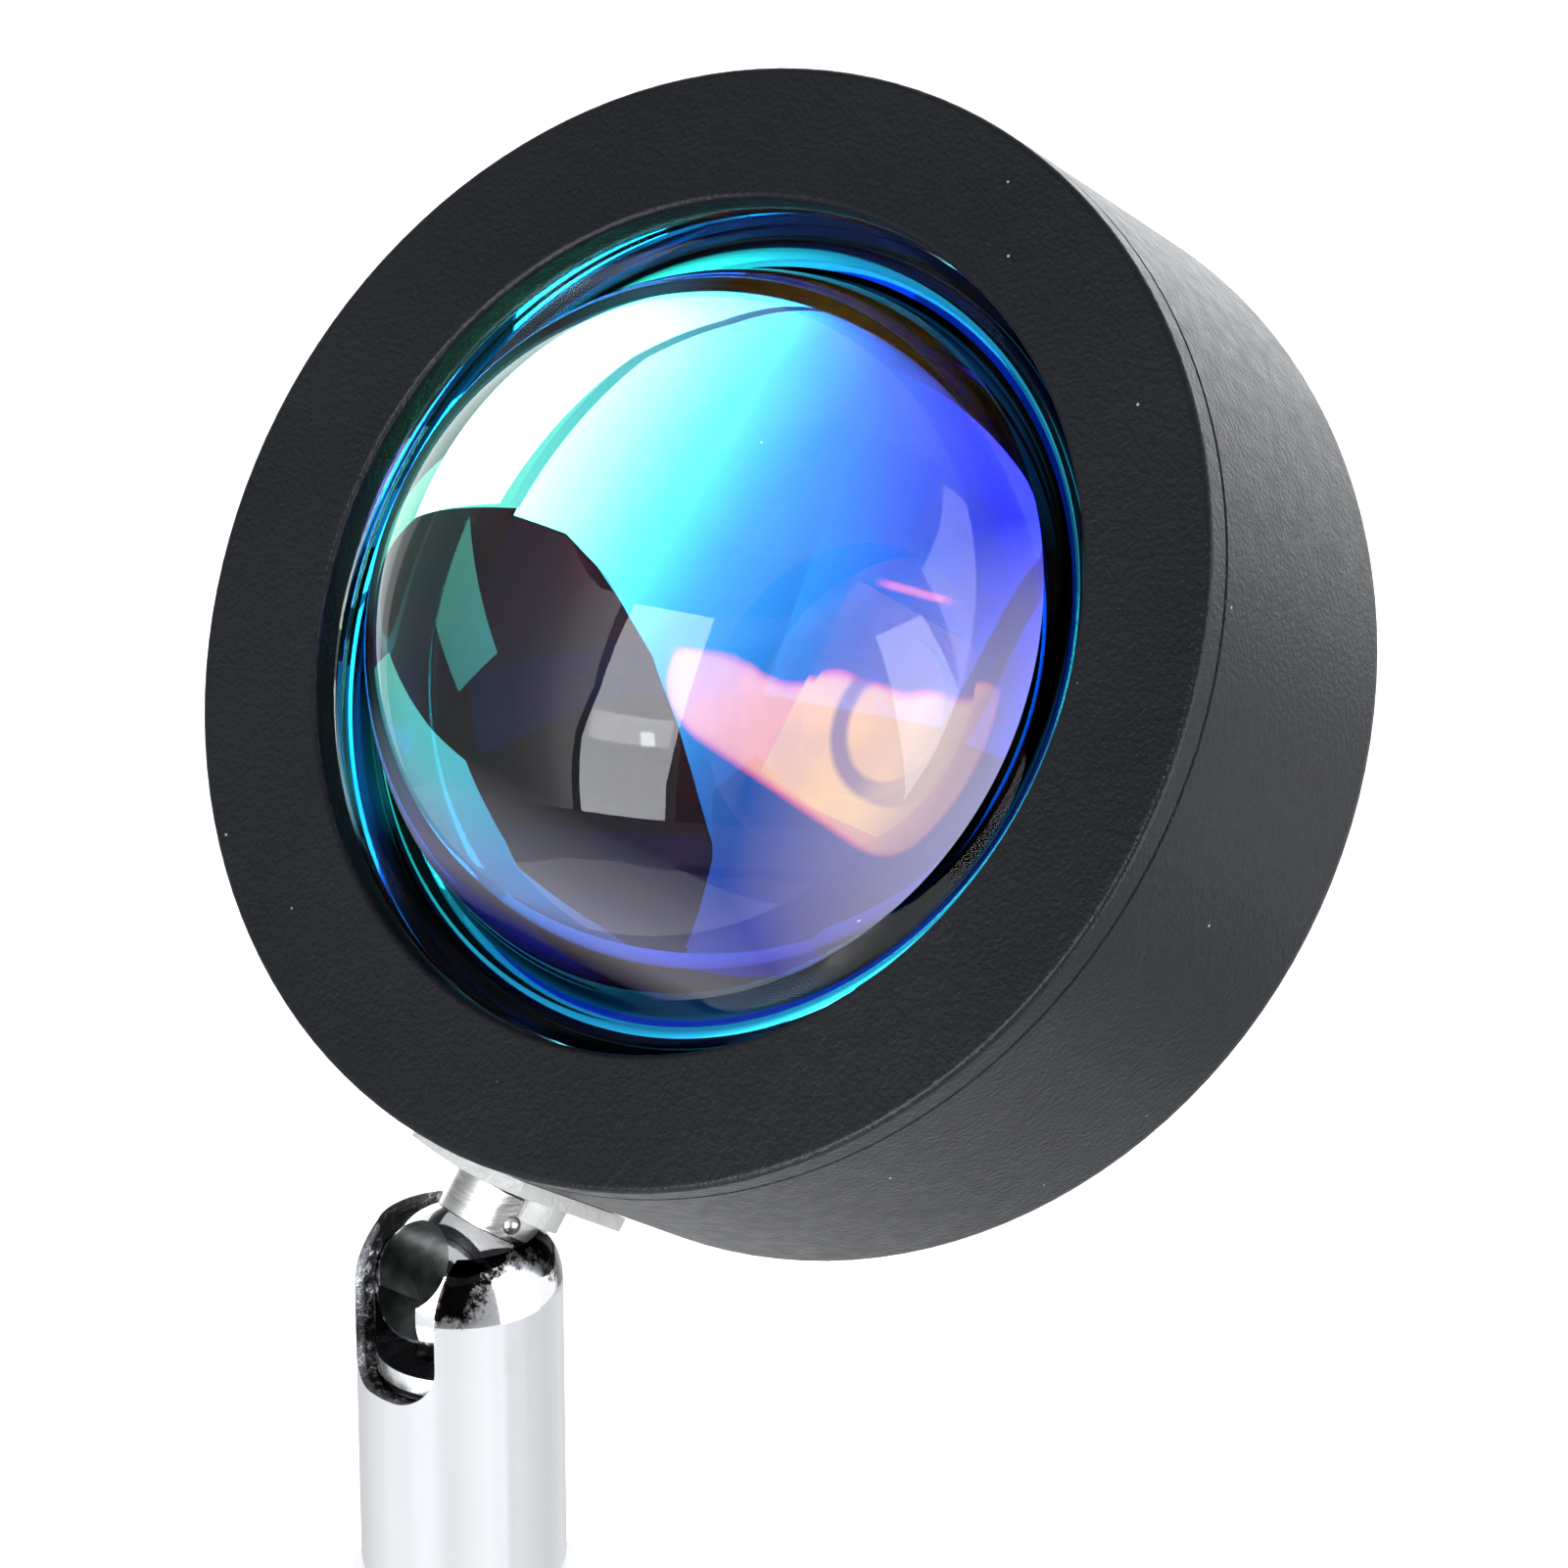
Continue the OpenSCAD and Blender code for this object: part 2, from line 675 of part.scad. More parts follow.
// A round wire wound about Z from one height to another
module coil(r, wire_r, low, high, turns) {
    per_turn = 20;
    sides = 8;
    rings = turns * per_turn;
    points = [for (i = [0:rings]) for (j = [0:sides - 1])
        let (a = 360 * i / per_turn, b = 360 * j / sides)
        [(r + wire_r * cos(b)) * cos(a), (r + wire_r * cos(b)) * sin(a),
         low + wire_r + (high - low - 2 * wire_r) * i / rings + wire_r * sin(b)]];
    walls = [for (i = [0:rings - 1]) for (j = [0:sides - 1])
        let (here = i * sides, next = (i + 1) * sides, k = (j + 1) % sides)
        [here + j, next + j, next + k, here + k]];
    first = [[for (j = [0:sides - 1]) j]];
    last = [[for (j = [sides - 1:-1:0]) rings * sides + j]];
    polyhedron(points, concat(walls, first, last));
}

module pressure_spring() {
    color([0.7, 0.7, 0.72]) at_socket()
        coil(socket_in_r - spring_wire_r - 2 * fit_gap, spring_wire_r,
             -socket_drop + link_up + run_gap, ring_low - run_gap, spring_turns);
}

module link_nipple() {
    color([0.75, 0.62, 0.35]) at_socket() difference() {
        union() {
            translate([0, 0, -socket_drop]) cylinder(r = socket_in_r - run_gap, h = link_up);
            translate([0, 0, -socket_drop - link_down]) cylinder(r = link_r, h = link_down + past);
        }
        translate([0, 0, -socket_drop - link_down - past])
            cylinder(r = link_bore_r, h = link_up + link_down + 2 * past);
    }
}

// ---- Pole and foot ----

module pole_tube() {
    color([0.82, 0.82, 0.84]) ring(pole_in_r, pole_r, foot_h, pole_top);
}

module pole_bush() {
    color([0.75, 0.62, 0.35]) ring(link_r + run_gap, pole_in_r, pole_top - bush_len, pole_top);
}

module foot_plug() {
    color([0.7, 0.7, 0.72]) difference() {
        translate([0, 0, foot_h]) cylinder(r = pole_in_r, h = plug_len);
        translate([0, 0, foot_h - past]) cylinder(r = bolt_r, h = bolt_grip + past + bolt_tip_clear);
    }
}

module pole_collar() {
    color([0.82, 0.82, 0.84]) rotate_extrude() polygon([
        [pole_r + fit_gap, foot_h], [collar_r, foot_h], [collar_r, foot_h + collar_h - collar_bevel],
        [collar_r - collar_bevel, foot_h + collar_h], [pole_r + fit_gap, foot_h + collar_h]]);
}

module foot_cover() {
    color([0.06, 0.06, 0.065]) rotate_extrude() polygon(concat(
        [[bolt_hole_r, cover_low_top]],
        arc(foot_r - cover_t - cover_in_round, cover_low_top - cover_in_round, cover_in_round,
            90, 0, rim_steps),
        [[foot_r - cover_t, skirt_lift], [foot_r, skirt_lift]],
        arc(foot_r - cover_round, foot_h - cover_round, cover_round, 0, 90, rim_steps),
        [[bolt_hole_r, foot_h]]));
}

module foot_weight() {
    pocket_r = washer_r + washer_clear;
    color([0.35, 0.35, 0.36]) rotate_extrude() polygon([
        [bolt_hole_r, pad_foot_t + bolt_pocket_h], [pocket_r, pad_foot_t + bolt_pocket_h],
        [pocket_r, pad_foot_t], [weight_r, pad_foot_t], [weight_r, cover_low_top - weight_bevel],
        [weight_r - weight_bevel, cover_low_top], [bolt_hole_r, cover_low_top]]);
}

module foot_bolt() {
    head_top = pad_foot_t + bolt_pocket_h - washer_t;
    color([0.7, 0.7, 0.72]) difference() {
        union() {
            translate([0, 0, head_top - bolt_head_h]) cylinder(r = bolt_head_r, h = bolt_head_h);
            translate([0, 0, head_top]) cylinder(r = bolt_r, h = foot_h + bolt_grip - head_top);
        }
        // Hexagon socket for the key
        translate([0, 0, head_top - bolt_head_h - past]) cylinder(r = hex_r, h = past + hex_depth, $fn = 6);
    }
}

module foot_washer() {
    pocket_top = pad_foot_t + bolt_pocket_h;
    color([0.75, 0.75, 0.76]) ring(bolt_hole_r, washer_r, pocket_top - washer_t, pocket_top);
}

module foot_pad() {
    color([0.12, 0.12, 0.12]) cylinder(r = pad_foot_r, h = pad_foot_t);
}

front_bezel();
head_housing();
lens();
color_filter();
lens_gasket();
lens_retainer();
reflector_cup();
led_board();
led_emitter();
wire_socket();
board_chips();
thermal_pad();
heat_spreader();
board_screws();
cord_gland();
neck_stem();
neck_lug();
lap_pin();
neck_screw();
pivot_ball();
socket_tube();
friction_ring();
pressure_spring();
link_nipple();
pole_tube();
pole_bush();
foot_plug();
pole_collar();
foot_cover();
foot_weight();
foot_bolt();
foot_washer();
foot_pad();
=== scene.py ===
import json
import math

import bpy
import numpy as np
from mathutils import Matrix, Vector


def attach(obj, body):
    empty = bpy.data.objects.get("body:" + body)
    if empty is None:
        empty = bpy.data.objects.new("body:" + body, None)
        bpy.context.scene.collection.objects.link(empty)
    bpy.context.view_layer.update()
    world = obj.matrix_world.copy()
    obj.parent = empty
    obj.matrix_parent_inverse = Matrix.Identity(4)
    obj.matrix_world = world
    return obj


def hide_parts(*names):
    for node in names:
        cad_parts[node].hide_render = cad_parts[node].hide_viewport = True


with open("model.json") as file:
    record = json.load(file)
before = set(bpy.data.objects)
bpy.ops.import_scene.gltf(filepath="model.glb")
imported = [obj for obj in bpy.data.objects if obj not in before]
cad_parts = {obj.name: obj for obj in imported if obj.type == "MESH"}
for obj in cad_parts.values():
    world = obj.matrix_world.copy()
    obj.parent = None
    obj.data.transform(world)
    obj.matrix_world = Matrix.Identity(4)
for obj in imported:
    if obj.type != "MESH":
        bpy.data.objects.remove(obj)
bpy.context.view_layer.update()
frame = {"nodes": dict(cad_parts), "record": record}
scene = bpy.context.scene
scene.view_settings.view_transform = "Standard"

# ---------------------------------------------------------------- places, in metres
MM = 0.001
BALL = Vector((0, 0, 0.1937))
BALL_R = 4.4 * MM
TUBE_R = 5.5 * MM
# across the socket's slot, to the right
SLOT_TURN = math.radians(-13.217)
SLOT_SIDE = (math.cos(SLOT_TURN), math.sin(SLOT_TURN), 0)
# the head's own axes, and the middle of its front
HEAD_X = Vector((0.98273, -0.09810, -0.15692))
HEAD_Y = Vector((0.185058, 0.520941, 0.833291))
HEAD_Z = Vector((0, -0.847937, 0.530098))
HEAD_O = Vector((6.77314, 11.43503, 228.96932)) * MM
HEAD = Matrix.Translation(HEAD_O) @ Matrix((HEAD_X, HEAD_Y, HEAD_Z)).transposed().to_4x4()

# ---------------------------------------------------------------- camera
CAM_FROM_BALL = Vector((210.02, -268.20, 165.84)) * MM
CAM_DIR = Vector((-0.5342, 0.7578, -0.3746)).normalized()
cam_data = bpy.data.cameras.new("camera")
cam_data.lens = 164.4
cam_data.sensor_width = 36
cam_data.clip_start = 0.01
cam_data.clip_end = 50
cam = bpy.data.objects.new("camera", cam_data)
scene.collection.objects.link(cam)
cam.location = BALL + CAM_FROM_BALL
cam.rotation_euler = CAM_DIR.to_track_quat("-Z", "Y").to_euler()
scene.camera = cam

# ---------------------------------------------------------------- shader helpers
# most of a noise texture's values lie between these two
NOISE_LOW = 0.3
NOISE_HIGH = 0.7
# the places of the two colours among a mix node's inputs, and of the result among its outputs
MIX_A = 6
MIX_B = 7
MIX_RESULT = 2


def new_material(name):
    m = bpy.data.materials.new(name)
    m.use_nodes = True
    m.node_tree.nodes.clear()
    return m, m.node_tree


def add(tree, kind, **values):
    n = tree.nodes.new(kind)
    for k, v in values.items():
        if k in n.inputs:
            n.inputs[k].default_value = v
        else:
            setattr(n, k, v)
    return n


def feed(tree, node, *values):
    """Fills a node's inputs in order, each from another node's output or with a constant."""
    for k, v in enumerate(values):
        if hasattr(v, "links"):
            tree.links.new(v, node.inputs[k])
        else:
            node.inputs[k].default_value = v
    return node


def math_node(tree, operation, a, b=0.0):
    return feed(tree, add(tree, "ShaderNodeMath", operation=operation), a, b).outputs[0]


def product(tree, *factors):
    result = factors[0]
    for factor in factors[1:]:
        result = math_node(tree, "MULTIPLY", result, factor)
    return result


def hypotenuse(tree, a, b):
    squares = math_node(tree, "ADD", product(tree, a, a), product(tree, b, b))
    return math_node(tree, "SQRT", squares)


def vector_node(tree, operation, *values):
    n = feed(tree, add(tree, "ShaderNodeVectorMath", operation=operation), *values)
    return n.outputs["Value" if operation in ("DOT_PRODUCT", "DISTANCE", "LENGTH") else "Vector"]


def along_head(tree, coord, direction):
    """How far a point is from the middle of the head's front along a direction, in millimetres."""
    local = vector_node(tree, "SUBTRACT", coord, HEAD_O)
    return vector_node(tree, "DOT_PRODUCT", local, direction / MM)


def scale_range(tree, fac, low, high, to_low, to_high):
    n = add(tree, "ShaderNodeMapRange")
    tree.links.new(fac, n.inputs["Value"])
    for k, v in (("From Min", low), ("From Max", high), ("To Min", to_low), ("To Max", to_high)):
        n.inputs[k].default_value = v
    return n.outputs["Result"]


def ramp(tree, fac, stops):
    n = add(tree, "ShaderNodeValToRGB")
    tree.links.new(fac, n.inputs["Fac"])
    while len(n.color_ramp.elements) < len(stops):
        n.color_ramp.elements.new(0.5)
    for e, (at, col) in zip(n.color_ramp.elements, stops):
        e.position = at
        e.color = (*col, 1)
    return n.outputs["Color"]


def noise(tree, coord, scale, detail=2.0, rough=0.5):
    n = add(tree, "ShaderNodeTexNoise", Scale=scale, Detail=detail, Roughness=rough)
    tree.links.new(coord, n.inputs["Vector"])
    return n.outputs["Fac"]


def noise_value(tree, fac, low, high):
    """A number that a noise moves from low to high."""
    return scale_range(tree, fac, NOISE_LOW, NOISE_HIGH, low, high)


def noise_tone(tree, fac, low, high):
    """A colour that a noise moves from low to high."""
    return ramp(tree, fac, ((NOISE_LOW, low), (NOISE_HIGH, high)))


def bump(tree, height, depth, normal=None):
    n = add(tree, "ShaderNodeBump", Strength=1.0, Distance=depth)
    tree.links.new(height, n.inputs["Height"])
    if normal is not None:
        tree.links.new(normal, n.inputs["Normal"])
    return n.outputs["Normal"]


def mix_colour(tree, fac, a, b):
    n = add(tree, "ShaderNodeMix", data_type="RGBA")
    tree.links.new(fac, n.inputs[0])
    tree.links.new(a, n.inputs[MIX_A])
    tree.links.new(b, n.inputs[MIX_B])
    return n.outputs[MIX_RESULT]


def mix_shader(tree, fac, a, b):
    return feed(tree, add(tree, "ShaderNodeMixShader"), fac, a, b).outputs[0]


def specks(tree, coord, scale, size, share):
    """1 inside a few small round spots, one or none in each cell."""
    n = add(tree, "ShaderNodeTexVoronoi", Scale=scale)
    tree.links.new(coord, n.inputs["Vector"])
    near = scale_range(tree, n.outputs["Distance"], size * 0.6, size, 1.0, 0.0)
    split = feed(tree, add(tree, "ShaderNodeSeparateColor"), n.outputs["Color"])
    chosen = math_node(tree, "LESS_THAN", split.outputs[0], share)
    return product(tree, near, chosen)


def principled(tree, **values):
    out = add(tree, "ShaderNodeOutputMaterial")
    b = add(tree, "ShaderNodeBsdfPrincipled", **values)
    tree.links.new(b.outputs["BSDF"], out.inputs["Surface"])
    return b


def dress(tree, shader, tone, gloss, relief):
    tree.links.new(tone, shader.inputs["Base Color"])
    tree.links.new(gloss, shader.inputs["Roughness"])
    tree.links.new(relief, shader.inputs["Normal"])


# ---------------------------------------------------------------- plain finishes
def surface(name, colour, dark, rough, metal=0.0, grain=900, depth=0.02 * MM, spread=0.08):
    """A material whose colour, gloss and relief vary with a fine grain and a broad cloud."""
    m, t = new_material(name)
    b = principled(t)
    b.inputs["Metallic"].default_value = metal
    co = add(t, "ShaderNodeTexCoord").outputs["Object"]
    fine = noise(t, co, grain, detail=3.0, rough=0.6)
    tone = noise_tone(t, noise(t, co, grain / 22), dark, colour)
    gloss = scale_range(t, fine, 0.25, 0.75, rough - spread, rough + spread)
    dress(t, b, tone, gloss, bump(t, fine, depth))
    return m


def black_coat():
    """Matt powder coat: fine pebbles, a little dust and faint unevenness."""
    m, t = new_material("black_coat")
    b = principled(t)
    b.inputs["Specular IOR Level"].default_value = 0.08
    co = add(t, "ShaderNodeTexCoord").outputs["Object"]
    pebble = noise(t, co, 3400, rough=0.55)
    swell = noise(t, co, 900, detail=1.0)
    cloud = noise(t, co, 60)
    dust = specks(t, co, 700, size=0.07, share=0.10)
    coat = noise_tone(t, cloud, (0.0035, 0.0037, 0.0044), (0.0050, 0.0052, 0.0060))
    grey = ramp(t, dust, ((0.0, (0.009, 0.009, 0.010)), (1.0, (0.16, 0.16, 0.17))))
    height = math_node(t, "ADD", pebble, product(t, swell, 0.15))
    gloss = noise_value(t, swell, 0.28, 0.36)
    dress(t, b, mix_colour(t, dust, coat, grey), gloss, bump(t, height, 0.06 * MM))
    return m


def neck_satin():
    """Plating brushed round the neck, slightly warm."""
    m, t = new_material("neck_satin")
    b = principled(t, Metallic=1.0)
    place = add(t, "ShaderNodeMapping")
    t.links.new(add(t, "ShaderNodeTexCoord").outputs["Object"], place.inputs["Vector"])
    place.inputs["Scale"].default_value = (1, 1, 9)
    lines = noise(t, place.outputs[0], 700, detail=3.0, rough=0.6)
    tone = noise_tone(t, lines, (0.50, 0.49, 0.47), (0.66, 0.65, 0.63))
    dress(t, b, tone, noise_value(t, lines, 0.2, 0.34), bump(t, lines, 0.004 * MM))
    return m


def washer_with_painted_rim():
    """Black on its faces and bright metal round its rim, chosen by which way each face points; the
    bright rim is a painted reflection.
    """
    m, t = new_material("ring_plastic")
    b = principled(t)
    b.inputs["Specular IOR Level"].default_value = 0.25
    tex = add(t, "ShaderNodeTexCoord")
    fine = noise(t, tex.outputs["Object"], 1400)
    split = feed(t, add(t, "ShaderNodeSeparateXYZ"), tex.outputs["Normal"])
    upright = math_node(t, "ABSOLUTE", split.outputs[2])
    # painted reflection: faces pointing sideways are made bright metal, faces pointing up or down
    # keep the ring's black
    rim = scale_range(t, upright, 0.3, 0.6, 1.0, 0.0)
    face = noise_tone(t, fine, (0.004, 0.004, 0.005), (0.008, 0.008, 0.009))
    painted_bright_rim = noise_tone(t, fine, (0.72, 0.72, 0.72), (0.9, 0.9, 0.9))
    gloss = noise_value(t, fine, 0.22, 0.32)
    dress(t, b, mix_colour(t, rim, face, painted_bright_rim), gloss, bump(t, fine, 0.01 * MM))
    t.links.new(rim, b.inputs["Metallic"])
    return m


# ---------------------------------------------------------------- plated finishes
PLATE_TINT = (0.90, 0.90, 0.92)
PLATE_SHADE = tuple(c * 0.97 for c in PLATE_TINT)
PLATE_ROUGH = 0.06
# the ball's hollow is fully dull from the first depth below the skin, and starts at the second
HOLLOW = (0.12 * MM, 0.04 * MM)
# the rawness of the slot's cut fades where the wall ends on the outside, to this share
CUT_FADE = (TUBE_R - 0.5 * MM, TUBE_R - 0.2 * MM)
CUT_FADED = 0.7
# a face is cut, and not outside, when it faces away from the axis less than this
CUT_FACING = (0.72, 0.92)
# the near-black band of the dome: distances from the slot's middle, height over the ball, ragged
# edge
DARK_BAND_FROM = (3.0 * MM, 3.1 * MM)
DARK_BAND_TO = (4.5 * MM, 4.9 * MM)
DARK_BAND_ABOVE = (0.1 * MM, 0.5 * MM)
DARK_BAND_RAGGED = 0.5 * MM
DARK_BAND_STOPS = ((0.40, (0.014, 0.010, 0.009)), (0.60, (0.006, 0.006, 0.007)))
RAW_STOPS = ((0.44, (0.006, 0.006, 0.007)), (0.56, (0.035, 0.034, 0.034)), (0.70, (0.5, 0.5, 0.52)))
# the heights over the ball's centre between which the dome's hammered relief grows
CROWN = (1.2 * MM, 4.0 * MM)


def plating(tree, coord):
    """Colour, gloss and fine relief of bright plating."""
    tone = noise_tone(tree, noise(tree, coord, 120), PLATE_SHADE, PLATE_TINT)
    fine = noise(tree, coord, 1500, detail=3.0, rough=0.6)
    gloss = noise_value(tree, fine, PLATE_ROUGH * 0.8, PLATE_ROUGH * 1.3)
    return tone, gloss, bump(tree, fine, 0.0012 * MM)


def chrome():
    m, t = new_material("chrome")
    b = principled(t, Metallic=1.0)
    dress(t, b, *plating(t, add(t, "ShaderNodeTexCoord").outputs["Object"]))
    return m


def tube_chrome():
    """Plating that is raw on the slot's cut, near black in a band beside the slot and hammered on
    the dome.
    """
    m, t = new_material("tube_chrome")
    b = principled(t, Metallic=1.0)
    tex = add(t, "ShaderNodeTexCoord")
    co = tex.outputs["Object"]
    tone, gloss, relief = plating(t, co)
    coarse = noise(t, co, 1800, detail=4.0, rough=0.75)
    # outward is away from the axis below the ball's centre, and away from that centre above it
    away = vector_node(t, "SUBTRACT", co, BALL)
    parts = feed(t, add(t, "ShaderNodeSeparateXYZ"), away).outputs
    up = math_node(t, "MAXIMUM", parts[2], 0.0)
    outward = feed(t, add(t, "ShaderNodeCombineXYZ"), parts[0], parts[1], up).outputs[0]
    unit = vector_node(t, "NORMALIZE", outward)
    facing = math_node(t, "ABSOLUTE", vector_node(t, "DOT_PRODUCT", unit, tex.outputs["Normal"]))
    inner = scale_range(t, vector_node(t, "LENGTH", outward), *CUT_FADE, 1.0, CUT_FADED)
    raw = product(t, scale_range(t, facing, *CUT_FACING, 1.0, 0.0), inner)
    # the near-black band beside the slot
    beside = vector_node(t, "DOT_PRODUCT", away, SLOT_SIDE)
    ragged = noise_value(t, coarse, -DARK_BAND_RAGGED, DARK_BAND_RAGGED)
    from_slot = math_node(t, "ADD", beside, ragged)
    height = math_node(t, "ADD", parts[2], ragged)
    dark_band = product(
        t,
        scale_range(t, from_slot, *DARK_BAND_TO, 1.0, 0.0),
        scale_range(t, beside, *DARK_BAND_FROM, 0.0, 1.0),
        scale_range(t, height, *DARK_BAND_ABOVE, 0.0, 1.0),
    )
    tone = mix_colour(t, raw, tone, ramp(t, coarse, RAW_STOPS))
    tone = mix_colour(t, dark_band, tone, ramp(t, coarse, DARK_BAND_STOPS))
    gloss = math_node(t, "ADD", gloss, product(t, raw, 0.22))
    crown = scale_range(t, up, *CROWN, 0.0, 1.0)
    hammered = bump(t, product(t, noise(t, co, 1300, detail=1.0), crown), 0.028 * MM, relief)
    dress(t, b, tone, gloss, bump(t, product(t, coarse, raw), 0.25 * MM, hammered))
    return m


def ball_chrome():
    """Plated ball whose hollow, nearer its centre than the skin, is dull and grey."""
    m, t = new_material("ball_chrome")
    b = principled(t, Metallic=1.0)
    co = add(t, "ShaderNodeTexCoord").outputs["Object"]
    fine = noise(t, co, 1500, detail=3.0, rough=0.6)
    radius = vector_node(t, "DISTANCE", co, BALL)
    hollow = scale_range(t, radius, BALL_R - HOLLOW[0], BALL_R - HOLLOW[1], 1.0, 0.0)
    skin = noise_tone(t, fine, (0.80, 0.80, 0.82), (0.86, 0.86, 0.88))
    dull_stops = ((0.35, (0.07, 0.073, 0.072)), (0.7, (0.17, 0.175, 0.172)))
    dull = ramp(t, noise(t, co, 900, detail=3.0), dull_stops)
    gloss = math_node(t, "ADD", product(t, hollow, 0.24), 0.07)
    dress(t, b, mix_colour(t, hollow, skin, dull), gloss, bump(t, fine, 0.004 * MM))
    return m


# ---------------------------------------------------------------- the inside, with painted light
# the warm patch of painted light, glowing as emission, in millimetres along the head's axes:
# where its lower and upper edge are and how they lean, the waves of the upper one, the patch's
# reach, the rounding of its lower corners and the softness of its border
PATCH_LOW = -3.7
PATCH_LOW_LEAN = 0.15
PATCH_HIGH = 1.45
PATCH_HIGH_LEAN = 0.30
PATCH_WAVE = 1.4
PATCH_R = 6.5
PATCH_ROUND = 1.3
PATCH_SOFT = 0.4
# the dark ring in the painted light patch: its radius, its half width and softness, the shift
# of its middle, and the brightness of its left and of its open right side
RING_AT = 2.1
RING_HALF = (0.10, 0.40)
RING_SHIFT = 0.9
RING_SIDES = (-0.5, 1.8, 0.3, 0.95)
# the red streak above the patch, a painted glint: its middle, its lean, half its length and
# thickness, its glow
STREAK_U = -1.6
STREAK_V = 3.98
STREAK_LEAN = 0.208
STREAK_LONG = (0.9, 1.5)
STREAK_THICK = (0.05, 0.16)
STREAK_GLOW = 0.42


def painted_light_patch_mask(tree, coord, u, v):
    """1 inside the warm patch of painted light, which has two leaning edges and rounded lower
    corners.
    """
    low_edge = math_node(tree, "ADD", v, product(tree, u, PATCH_LOW_LEAN))
    over_low = math_node(tree, "SUBTRACT", low_edge, PATCH_LOW)
    inside = math_node(tree, "SUBTRACT", PATCH_R, hypotenuse(tree, u, v))
    short = []
    for distance in (over_low, inside):
        missing = math_node(tree, "SUBTRACT", PATCH_ROUND, distance)
        short.append(math_node(tree, "MAXIMUM", missing, 0.0))
    depth = math_node(tree, "SUBTRACT", PATCH_ROUND, hypotenuse(tree, *short))
    high_edge = math_node(tree, "SUBTRACT", v, product(tree, u, PATCH_HIGH_LEAN))
    wave = product(tree, noise(tree, coord, 350, detail=1.0), PATCH_WAVE)
    upper = math_node(tree, "ADD", high_edge, wave)
    below = scale_range(tree, upper, PATCH_HIGH, PATCH_HIGH + PATCH_SOFT, 1.0, 0.0)
    return product(tree, scale_range(tree, depth, 0.0, PATCH_SOFT, 0.0, 1.0), below)


def painted_glint_streak_mask(tree, u, v):
    # a painted glint: a thin glowing streak above the patch
    across = math_node(tree, "ABSOLUTE", math_node(tree, "SUBTRACT", u, STREAK_U))
    over = math_node(tree, "SUBTRACT", v, STREAK_V)
    off_line = math_node(tree, "SUBTRACT", over, product(tree, u, STREAK_LEAN))
    thick = math_node(tree, "ABSOLUTE", off_line)
    return product(
        tree,
        scale_range(tree, across, *STREAK_LONG, 1.0, 0.0),
        scale_range(tree, thick, *STREAK_THICK, 1.0, 0.0),
        STREAK_GLOW,
    )


def painted_glow_ring(tree, u, v):
    """Low on a ring that opens to the right, 1 beside it; it sets the strength of the painted glow.
    """
    ring_u = math_node(tree, "SUBTRACT", u, RING_SHIFT)
    off_ring = math_node(tree, "SUBTRACT", hypotenuse(tree, ring_u, v), RING_AT)
    ring = scale_range(tree, math_node(tree, "ABSOLUTE", off_ring), *RING_HALF, 0.0, 1.0)
    return math_node(tree, "MAXIMUM", ring, scale_range(tree, ring_u, *RING_SIDES))


def painted_light_board(name, painted_shade_base, hottest_painted_light):
    """A board or emitter with a warm patch of painted light on it, glowing as emission."""
    m, t = new_material(name)
    b = principled(t, Roughness=0.5)
    b.inputs["Specular IOR Level"].default_value = 0.1
    co = add(t, "ShaderNodeTexCoord").outputs["Object"]
    cloud = noise(t, co, 500)
    tone = noise_tone(t, cloud, painted_shade_base, tuple(c * 1.2 for c in painted_shade_base))
    u = along_head(t, co, HEAD_X)
    v = along_head(t, co, HEAD_Y)
    mask = math_node(t, "MAXIMUM", painted_light_patch_mask(t, co, u, v), painted_glint_streak_mask(t, u, v))
    stops = ((0.0, (0, 0, 0)), (0.25, (0.55, 0.05, 0.03)), (0.6, (0.9, 0.38, 0.2)), (1.0, hottest_painted_light))
    shine = product(t, noise_value(t, cloud, 0.85, 1.05), painted_glow_ring(t, u, v))
    t.links.new(tone, b.inputs["Base Color"])
    t.links.new(ramp(t, mask, stops), b.inputs["Emission Color"])
    t.links.new(shine, b.inputs["Emission Strength"])
    return m


# ---------------------------------------------------------------- glass and film
GLASS_IOR = 1.5
# the index of the thin skin that sets how much the glass mirrors, on the dome and on the ledge
DOME_SKIN_IOR = 1.27
LEDGE_SKIN_IOR = 1.10
CLEAR = (1.0, 1.0, 1.0)
# the ledge's blue and green and the faint green of the dome's left side are painted colours of the
# film's reflection; the glass itself is clear
CLEAR_LEFT_PAINTED = (0.99, 1.0, 0.99)
PAINTED_LEDGE_TINT = (0.08, 0.30, 0.56)
PAINTED_LEDGE_TINT_LEFT = (0.10, 0.60, 0.42)
# where the painted colour shift of the left side grows, in millimetres left of the middle
PAINTED_SHIFT_LEFT_SIDE = (2.0, 18.0)
# the pale veil, a painted reflection that glows on the glass: toward its side and toward the foot,
# where it grows and how dense it gets
PAINTED_HAZE_TO = HEAD_X * 0.995 - HEAD_Y * 0.10
PAINTED_HAZE_SIDE = (13.5, 19.6, 0.0, 0.38)
PAINTED_HAZE_LOW = (11.0, 16.0, 0.0, 0.15)
PAINTED_HAZE_LOW_END = (16.6, 18.2, 1.0, 0.0)
PAINTED_HAZE_COLOUR = (0.90, 0.87, 1.0, 1)
# what the film throws back, by the angle in the glass in degrees
FILM = (
    (10, (0.20, 0.84, 0.62)),
    (17, (0.18, 0.93, 0.74)),
    (21, (0.15, 0.90, 0.88)),
    (25, (0.11, 0.78, 0.95)),
    (28, (0.07, 0.60, 0.96)),
    (31, (0.045, 0.43, 0.96)),
    (34, (0.035, 0.31, 0.95)),
    (38, (0.045, 0.18, 0.92)),
    (42, (0.06, 0.12, 0.88)),
    (46, (0.07, 0.08, 0.62)),
)
